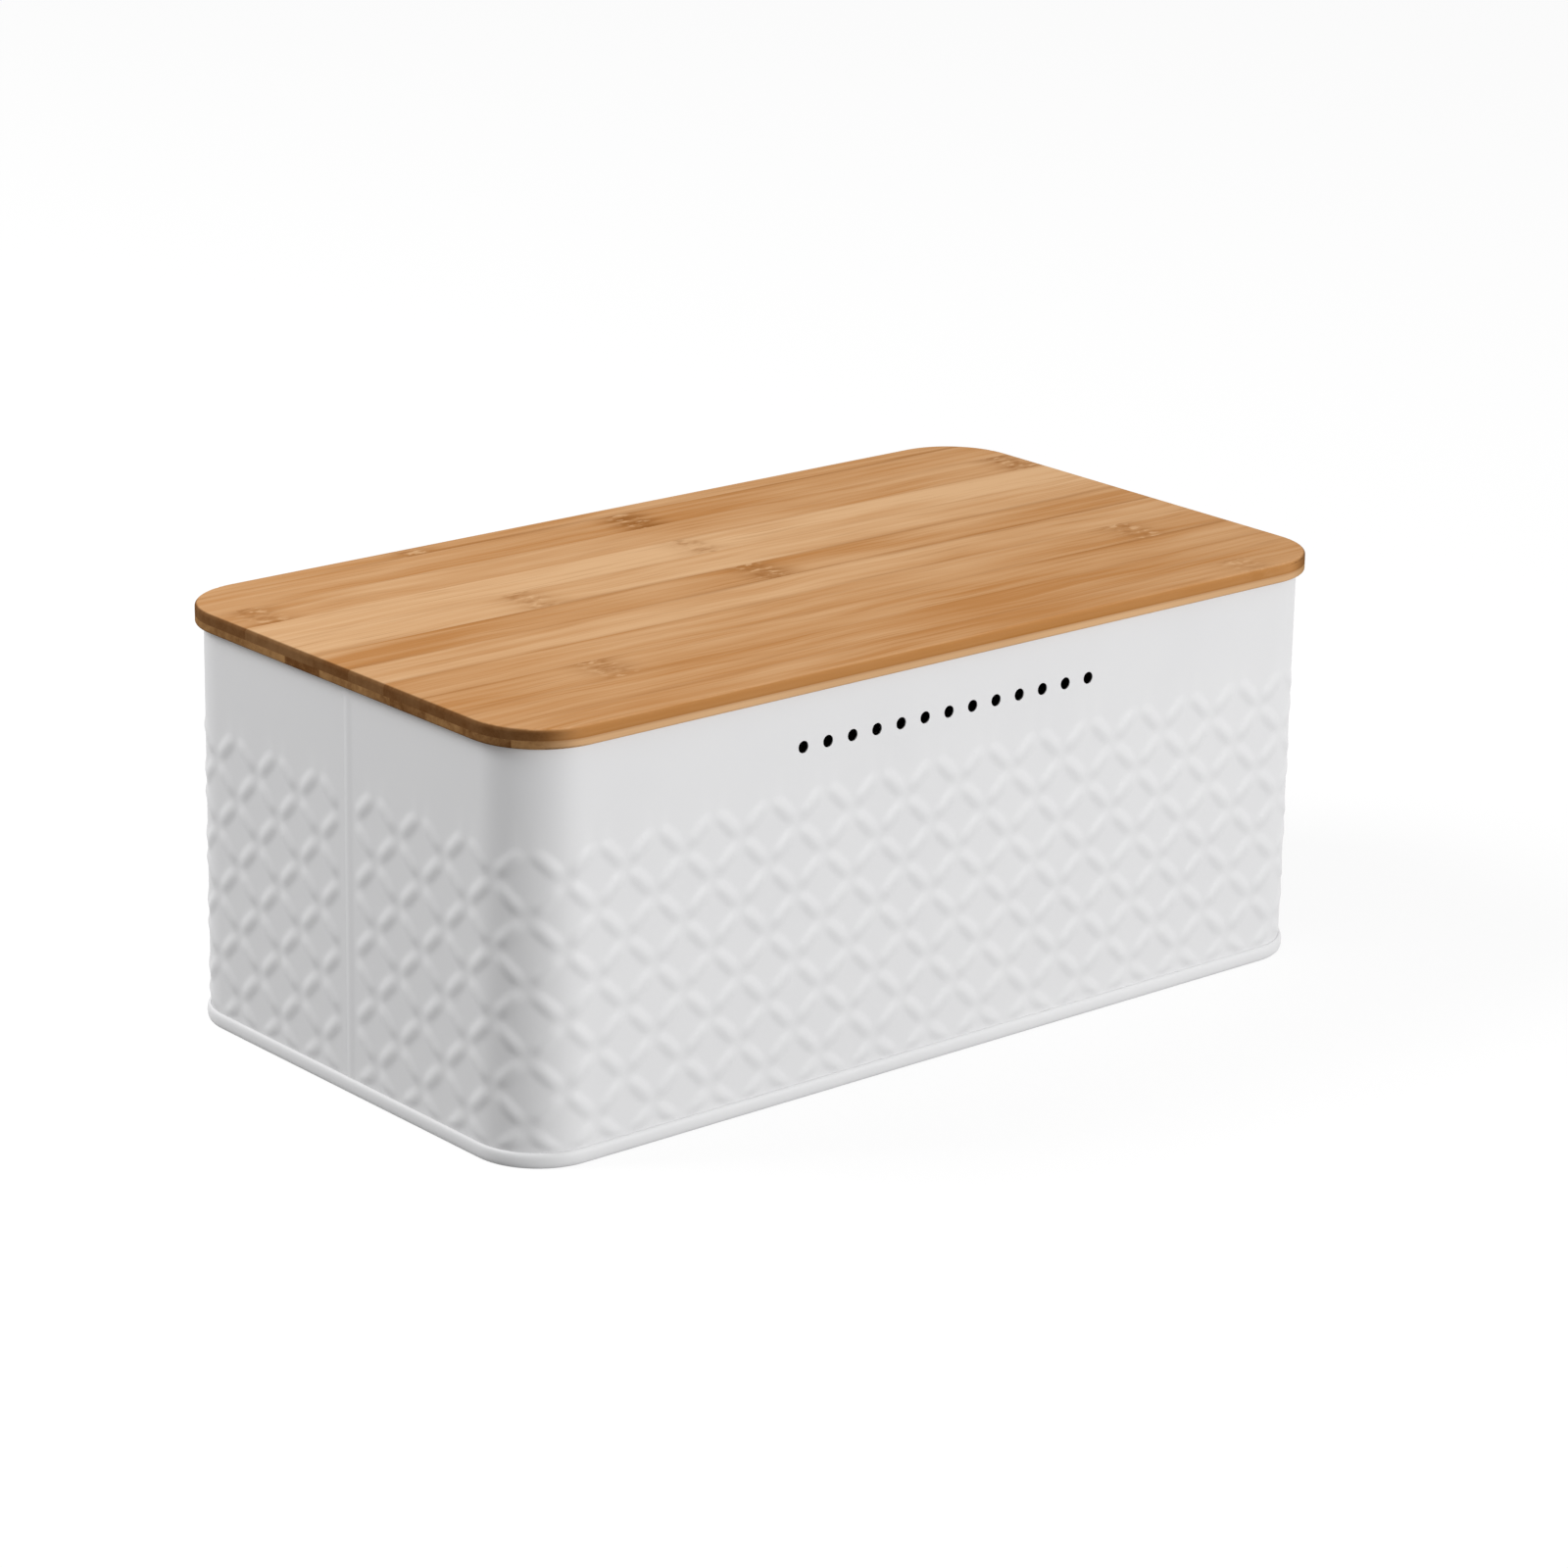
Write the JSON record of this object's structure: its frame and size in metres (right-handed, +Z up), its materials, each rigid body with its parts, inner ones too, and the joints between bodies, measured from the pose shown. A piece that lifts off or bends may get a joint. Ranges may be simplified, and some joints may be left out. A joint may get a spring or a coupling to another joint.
{
  "type": "bread box",
  "caption": "Rounded rectangular steel bread box, white powder coated with an embossed diamond lattice, a row of front vent holes and a lift-off laminated bamboo lid.",
  "frame": {"origin": "on the table under the middle of the box, at the foot of its bottom bead", "axes": "+X along the length, to the right as seen from the front; +Y from the vented front to the back; +Z up"},
  "size_m": [0.34, 0.188, 0.14],
  "materials": {
    "coated_steel": "satin white powder coat on thin sheet steel",
    "bamboo_top": "oiled caramel bamboo, satin",
    "bamboo_under": "oiled caramel bamboo, satin"
  },
  "bodies": {
    "case": {"front_wall": "coated_steel", "rear_wall": "coated_steel", "base_pan": "coated_steel"},
    "lid": {"lid_top_strip_01": "bamboo_top", "lid_top_strip_02": "bamboo_top", "lid_top_strip_03": "bamboo_top", "lid_top_strip_04": "bamboo_top", "lid_top_strip_05": "bamboo_top", "lid_top_strip_06": "bamboo_top", "lid_top_strip_07": "bamboo_top", "lid_top_strip_08": "bamboo_top", "lid_top_strip_09": "bamboo_top", "lid_top_strip_10": "bamboo_top", "lid_top_strip_11": "bamboo_top", "lid_bottom_strip_01": "bamboo_under", "lid_bottom_strip_02": "bamboo_under", "lid_bottom_strip_03": "bamboo_under", "lid_bottom_strip_04": "bamboo_under", "lid_bottom_strip_05": "bamboo_under", "lid_bottom_strip_06": "bamboo_under", "lid_bottom_strip_07": "bamboo_under", "lid_bottom_strip_08": "bamboo_under", "lid_bottom_strip_09": "bamboo_under", "lid_bottom_strip_10": "bamboo_under", "lid_bottom_strip_11": "bamboo_under"}
  },
  "joints": [
    {"name": "lid_lift", "type": "slide", "parent": "case", "child": "lid", "axis": [0, 0, 1], "range_m": [0, 0.2]}
  ]
}
